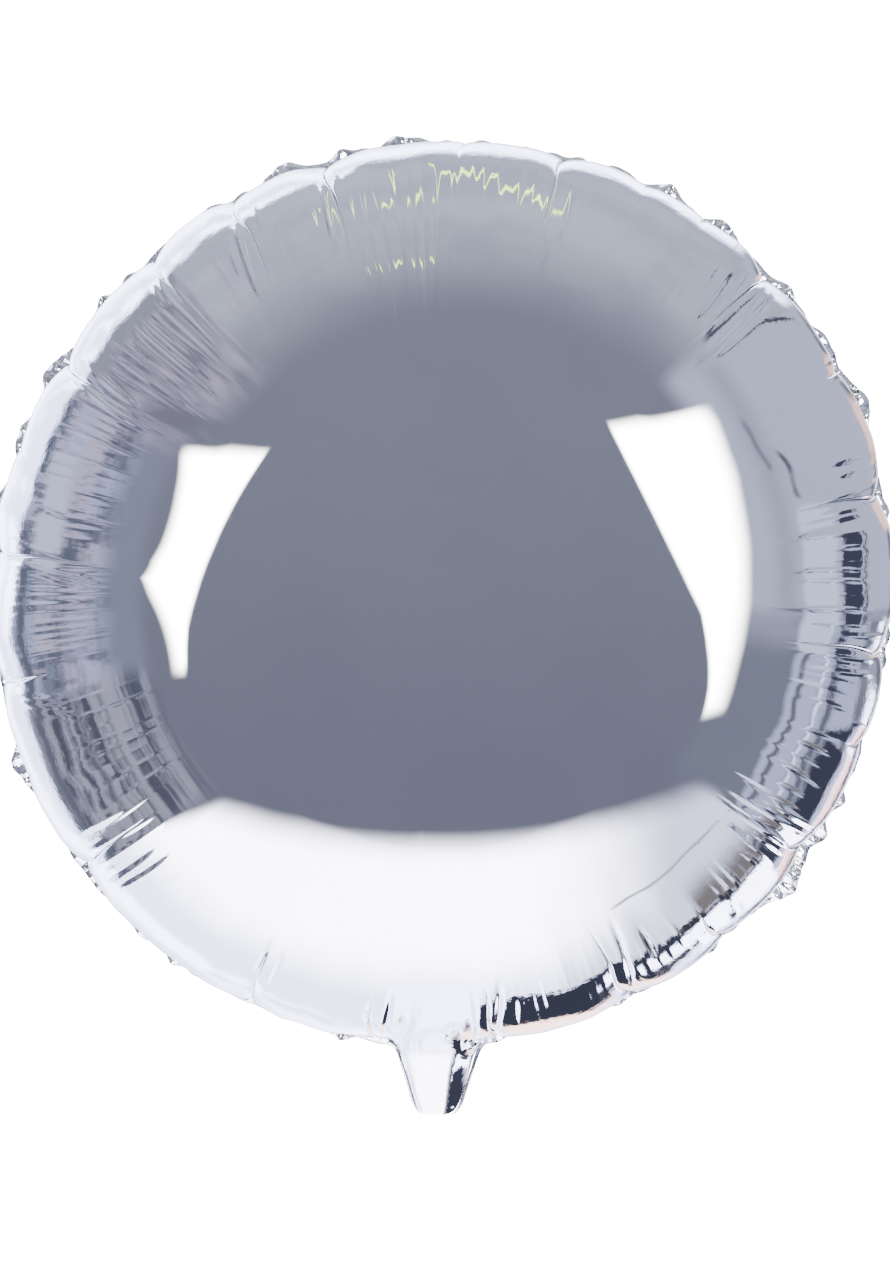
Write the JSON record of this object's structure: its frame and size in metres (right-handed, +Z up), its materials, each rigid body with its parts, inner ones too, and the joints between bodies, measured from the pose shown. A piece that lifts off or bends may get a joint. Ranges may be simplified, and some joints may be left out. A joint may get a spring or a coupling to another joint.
{
  "type": "round foil balloon",
  "caption": "Filled round foil balloon: front and back panels with a puckered rim, a heat-sealed edge, and a short neck with a flat two-film valve, its mouth open.",
  "frame": {"origin": "middle of the filled globe, where the air carries the balloon", "axes": "+Z up, with the neck pointing down along -Z; the front panel faces -Y; +X to the right as seen from the front"},
  "size_m": [0.3625, 0.2102, 0.3879],
  "materials": {
    "silver_foil": "mirror-bright metallised film, lightly wrinkled",
    "sealed_foil": "bright metallised film, dulled by the heat seal",
    "clear_film": "thin clear film"
  },
  "bodies": {
    "root": {"front_panel": "silver_foil", "back_panel": "silver_foil", "edge_seal": "sealed_foil", "valve_front_film": "clear_film", "valve_back_film": "clear_film"}
  },
  "joints": []
}
